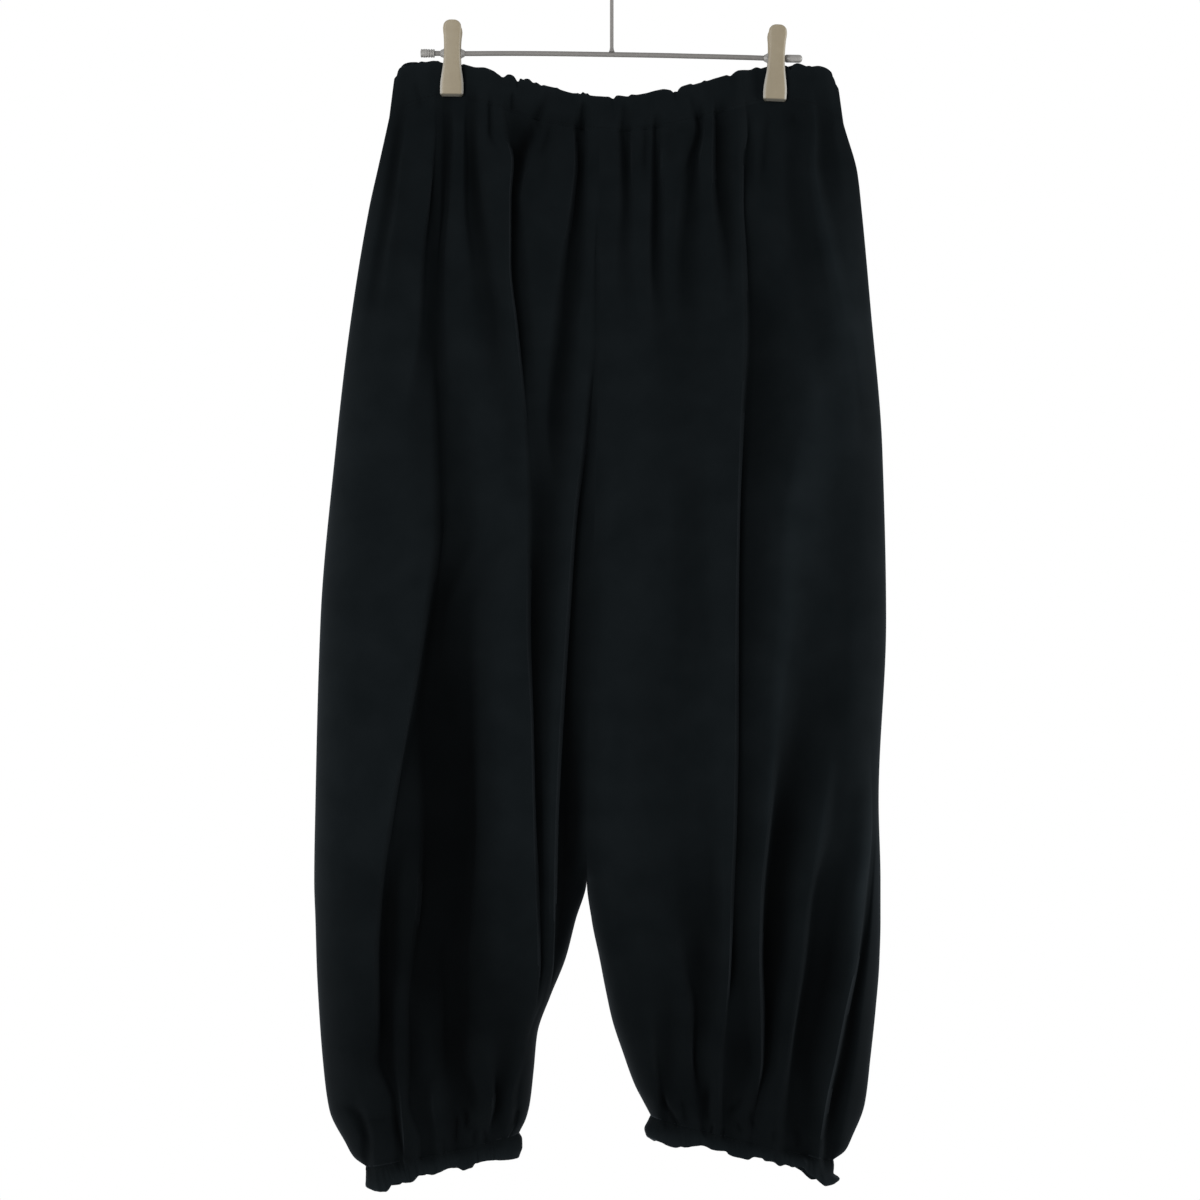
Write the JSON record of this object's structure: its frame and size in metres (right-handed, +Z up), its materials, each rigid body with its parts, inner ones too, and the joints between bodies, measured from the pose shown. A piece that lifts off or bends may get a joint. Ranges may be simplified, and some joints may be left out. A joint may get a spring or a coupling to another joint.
{
  "type": "harem pants on a clip hanger",
  "caption": "Black loose harem trousers with a low crotch, gathered elastic waist and gathered ankle cuffs, hung flat by the waist from a wire clip hanger.",
  "frame": {"origin": "the inner top of the hanger's hook, where a rail carries it", "axes": "+Z up, the front of the trousers faces -Y, +X towards the wearer's left, which is the viewer's right"},
  "size_m": [0.4574, 0.0784, 1.0321],
  "materials": {
    "black_cloth": "matt woven cloth with a soft sheen",
    "steel_wire": "satin zinc-plated wire",
    "taupe_plastic": "satin moulded plastic",
    "clear_plastic": "translucent soft plastic"
  },
  "bodies": {
    "root": {"front_leg_right": "black_cloth", "front_leg_left": "black_cloth", "back_leg_right": "black_cloth", "back_leg_left": "black_cloth", "waistband_front": "black_cloth", "waistband_back": "black_cloth", "cuff_right": "black_cloth", "cuff_left": "black_cloth", "hanger_bar": "steel_wire", "hanger_hook": "steel_wire", "clip_barrel_right": "clear_plastic", "clip_barrel_left": "clear_plastic", "bar_stopper_right": "clear_plastic", "bar_stopper_left": "clear_plastic", "clip_jaw_front_right": "taupe_plastic", "clip_jaw_front_left": "taupe_plastic", "clip_jaw_back_right": "taupe_plastic", "clip_jaw_back_left": "taupe_plastic"}
  },
  "joints": []
}
